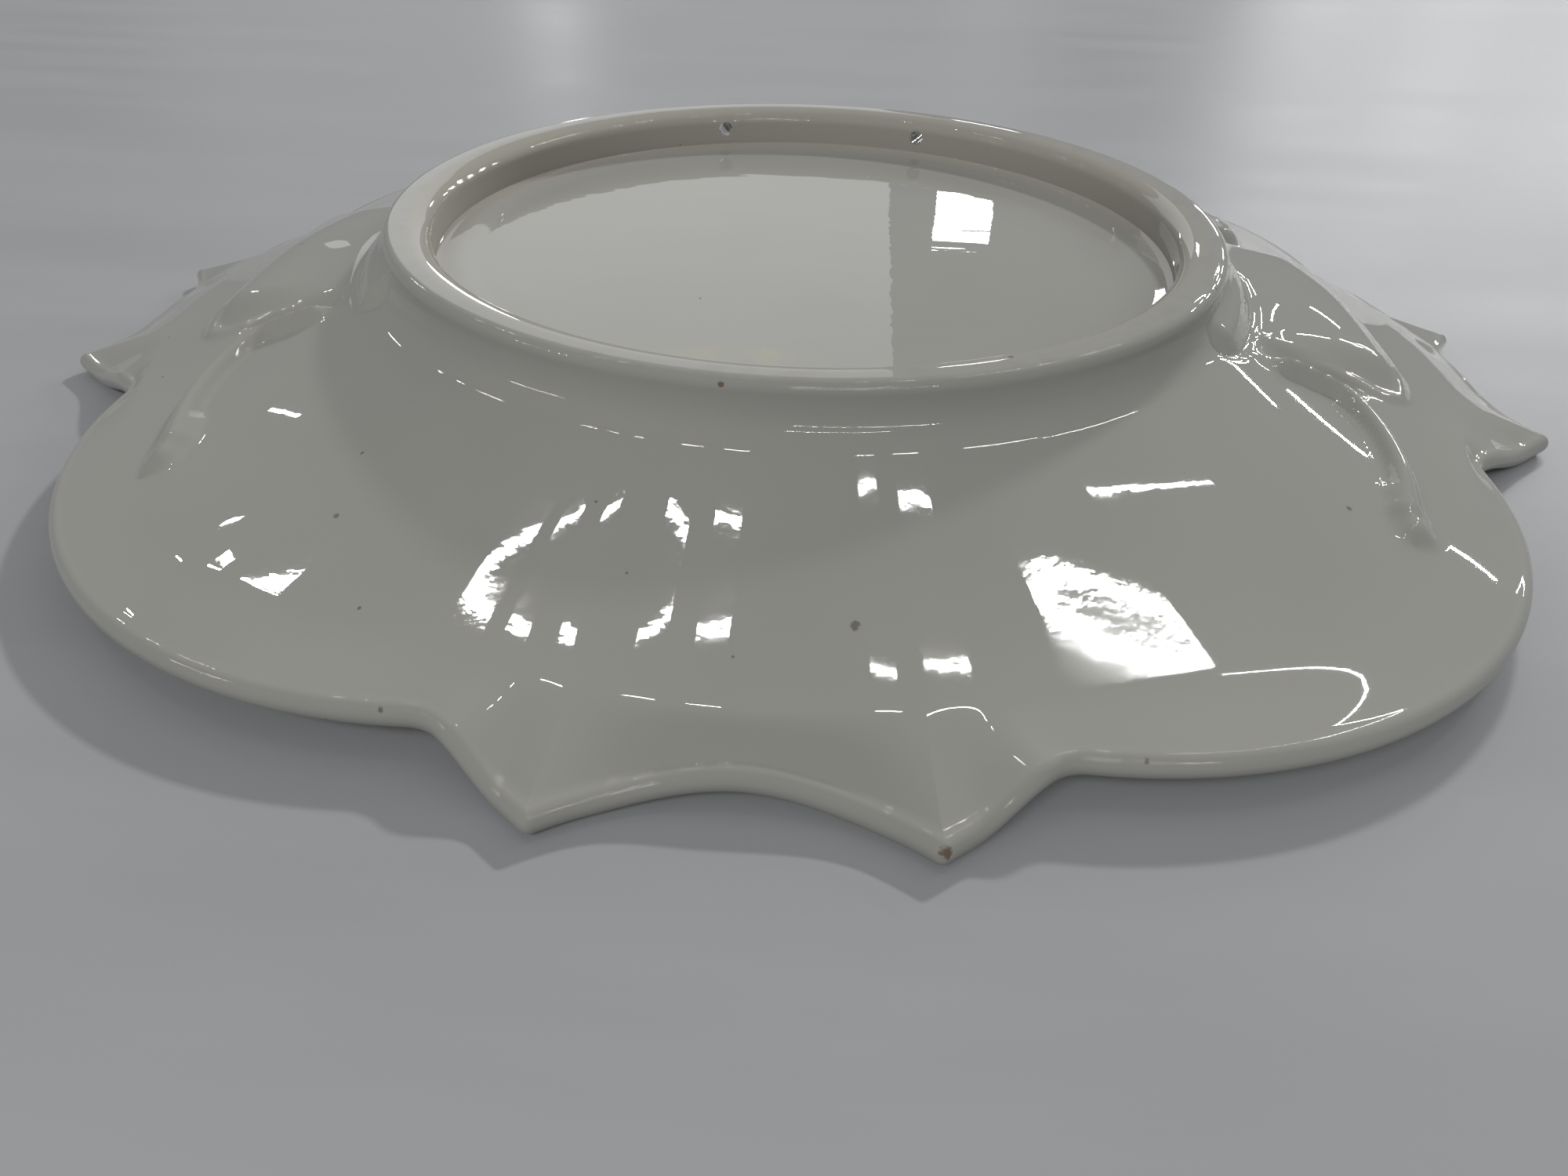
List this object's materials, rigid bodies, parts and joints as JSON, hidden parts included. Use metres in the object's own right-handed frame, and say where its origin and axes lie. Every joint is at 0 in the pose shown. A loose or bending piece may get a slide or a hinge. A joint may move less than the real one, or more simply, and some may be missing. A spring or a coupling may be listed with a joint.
{
  "type": "deep plate",
  "caption": "Deep lobed serving plate of glazed earthenware with bracket-shaped rim points, a round foot ring pierced for hanging and soft moulded relief at both ends.",
  "frame": {"origin": "middle of the dish at the level that its rim points rest on, with the dish lying face down as pictured", "axes": "+Z from the mouth to the foot ring, +X along the longer way of the dish through the two ends with relief, +Y towards the side of the foot ring with the hanging holes; turn it half round about X to stand it on its foot"},
  "size_m": [0.2992, 0.2784, 0.0352],
  "materials": {
    "glaze": "glossy clear glaze over cream earthenware"
  },
  "bodies": {
    "root": {"dish": "glaze"}
  },
  "joints": []
}
